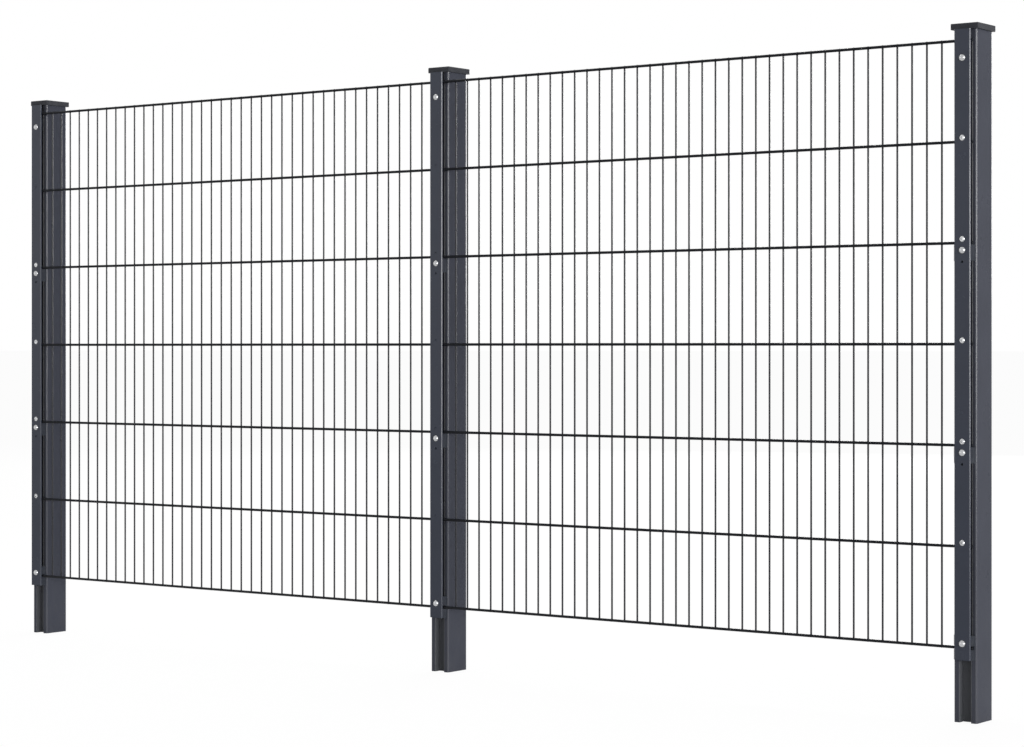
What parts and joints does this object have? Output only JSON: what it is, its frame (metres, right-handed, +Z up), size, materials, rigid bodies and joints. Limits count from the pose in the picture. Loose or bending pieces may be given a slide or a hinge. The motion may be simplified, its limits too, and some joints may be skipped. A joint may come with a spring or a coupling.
{
  "type": "welded mesh fence panel run",
  "caption": "Straight run of welded rod mesh fence: two bays between rectangular steel posts, held by flat clamp strips with dome-head bolts and topped by push-in caps.",
  "frame": {"origin": "middle of the middle post's foot, at ground level", "axes": "+X along the fence, -Y towards the front with the clamp strips, +Z up"},
  "size_m": [2.7, 0.0892, 1.3845],
  "materials": {
    "post_coat": "anthracite powder coat, semi-matt, on zinc-coated steel tube",
    "rail_coat": "anthracite powder coat, semi-matt",
    "strip_coat": "anthracite powder coat, semi-matt",
    "mesh_coat": "anthracite powder coat on welded steel wire",
    "spacer_plastic": "dark grey moulded plastic",
    "cap_plastic": "anthracite moulded plastic, fine grain",
    "stainless_steel": "plain stainless steel, satin"
  },
  "bodies": {
    "root": {"post_left": "post_coat", "rail_left": "rail_coat", "clamp_left": "strip_coat", "spacer_left_top": "spacer_plastic", "spacer_left_upper": "spacer_plastic", "spacer_left_lower": "spacer_plastic", "spacer_left_foot": "spacer_plastic", "cap_left": "cap_plastic", "post_middle": "post_coat", "rail_middle": "rail_coat", "clamp_middle": "strip_coat", "spacer_middle_top": "spacer_plastic", "spacer_middle_upper": "spacer_plastic", "spacer_middle_lower": "spacer_plastic", "spacer_middle_foot": "spacer_plastic", "cap_middle": "cap_plastic", "post_right": "post_coat", "rail_right": "rail_coat", "clamp_right": "strip_coat", "spacer_right_top": "spacer_plastic", "spacer_right_upper": "spacer_plastic", "spacer_right_lower": "spacer_plastic", "spacer_right_foot": "spacer_plastic", "cap_right": "cap_plastic", "panel_left": "mesh_coat", "panel_right": "mesh_coat"}
  },
  "joints": []
}
